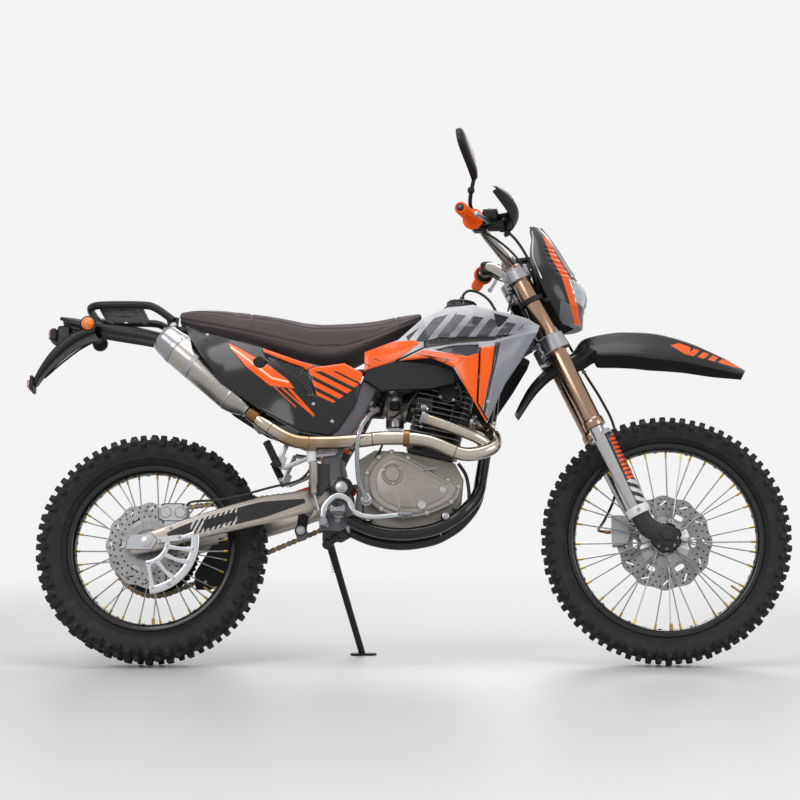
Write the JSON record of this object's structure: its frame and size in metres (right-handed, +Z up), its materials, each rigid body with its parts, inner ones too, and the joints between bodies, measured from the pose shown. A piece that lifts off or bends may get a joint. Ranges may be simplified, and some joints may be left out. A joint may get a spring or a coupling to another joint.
{
  "type": "enduro dirt bike",
  "caption": "Enduro dirt bike with a long-travel upside-down fork, spoked knobbly wheels, finned engine and high tail, leaning on its side stand.",
  "frame": {"origin": "centre of the parked bike's outline on the floor it stands on", "axes": "+X towards the front wheel, +Y to the rider's left, +Z up"},
  "size_m": [2.144, 0.8141, 1.4606],
  "materials": {
    "frame_black": "satin powder coat",
    "rail_black": "satin powder coat",
    "arm_champagne": "champagne silver coat",
    "steel": "brushed",
    "cases": "fine cast, beige grey coat",
    "fins": "dark cast fins",
    "carb": "cast",
    "exhaust": "stainless with heat tint",
    "silencer": "brushed stainless",
    "tank": "black gloss",
    "seat_cover": "matt grained cover",
    "shroud": "orange and silver-white gloss plastic with dark stripes",
    "side_panel": "black gloss plastic with orange stripe",
    "fender": "semi-gloss black plastic",
    "lamp": "red and amber lenses",
    "pegs": "cast and brushed",
    "levers": "polished",
    "caliper": "cast with dark coat",
    "shock": "orange spring",
    "chain": "oiled steel",
    "guide": "black nylon",
    "clamps": "machined",
    "fork_tube": "bronze anodised",
    "fork_leg": "cast and ground",
    "guard": "silver-white with dark stripes",
    "axle": "black",
    "hose": "black",
    "bar": "bronze anodised",
    "grip": "orange ribbed rubber",
    "controls": "satin black",
    "mask": "black plastic with orange and white bands",
    "lens": "clear lens",
    "mirror": "black housing",
    "tyre": "knobbly rubber",
    "rim": "black anodised",
    "hub": "silver hub and spokes",
    "disc": "ground steel"
  },
  "bodies": {
    "frame": {"main_frame": "frame_black", "subframe": "frame_black", "grab_rail": "rail_black", "swingarm": "arm_champagne", "rear_axle": "steel", "engine_cases": "cases", "cylinder": "fins", "carburettor": "carb", "exhaust_header": "exhaust", "silencer": "silencer", "fuel_tank": "tank", "seat": "seat_cover", "shrouds": "shroud", "side_panels": "side_panel", "rear_fender": "fender", "tail_lamps": "lamp", "footpegs": "pegs", "foot_controls": "levers", "rear_brake": "caliper", "shock_absorber": "shock", "chain": "chain", "chain_guide": "guide"},
    "steering": {"triple_clamps": "clamps", "fork_tubes": "fork_tube", "fork_legs": "fork_leg", "fork_guards": "guard", "front_axle": "axle", "front_caliper": "caliper", "brake_hose": "hose", "handlebar": "bar", "grips": "grip", "controls": "controls", "headlight_mask": "mask", "headlight": "lens", "mirror": "mirror", "front_fender": "fender"},
    "front_wheel": {"front_tyre": "tyre", "front_rim": "rim", "front_hub": "hub", "front_disc": "disc"},
    "rear_wheel": {"rear_tyre": "tyre", "rear_rim": "rim", "rear_hub": "hub", "rear_disc": "disc"},
    "side_stand": {"side_stand": "frame_black"}
  },
  "joints": [
    {"name": "steer", "type": "hinge", "parent": "frame", "child": "steering", "pos_m": [0.66744, -0.19424, 0.31639], "axis": [-0.4274, 0.1941, 0.883], "range_deg": [-32, 44]},
    {"name": "front_wheel_spin", "type": "hinge", "parent": "steering", "child": "front_wheel", "pos_m": [0.72498, -0.19493, 0.34439], "axis": [0.0945, 0.9809, -0.1699], "continuous": true},
    {"name": "rear_wheel_spin", "type": "hinge", "parent": "frame", "child": "rear_wheel", "pos_m": [-0.7047, -0.19358, 0.3194], "axis": [0, 0.9767, -0.2147], "continuous": true},
    {"name": "side_stand_fold", "type": "hinge", "parent": "frame", "child": "side_stand", "pos_m": [-0.2177, -0.06519, 0.33517], "axis": [0.1023, 0.9638, 0.2463], "range_deg": [0, 104]}
  ]
}
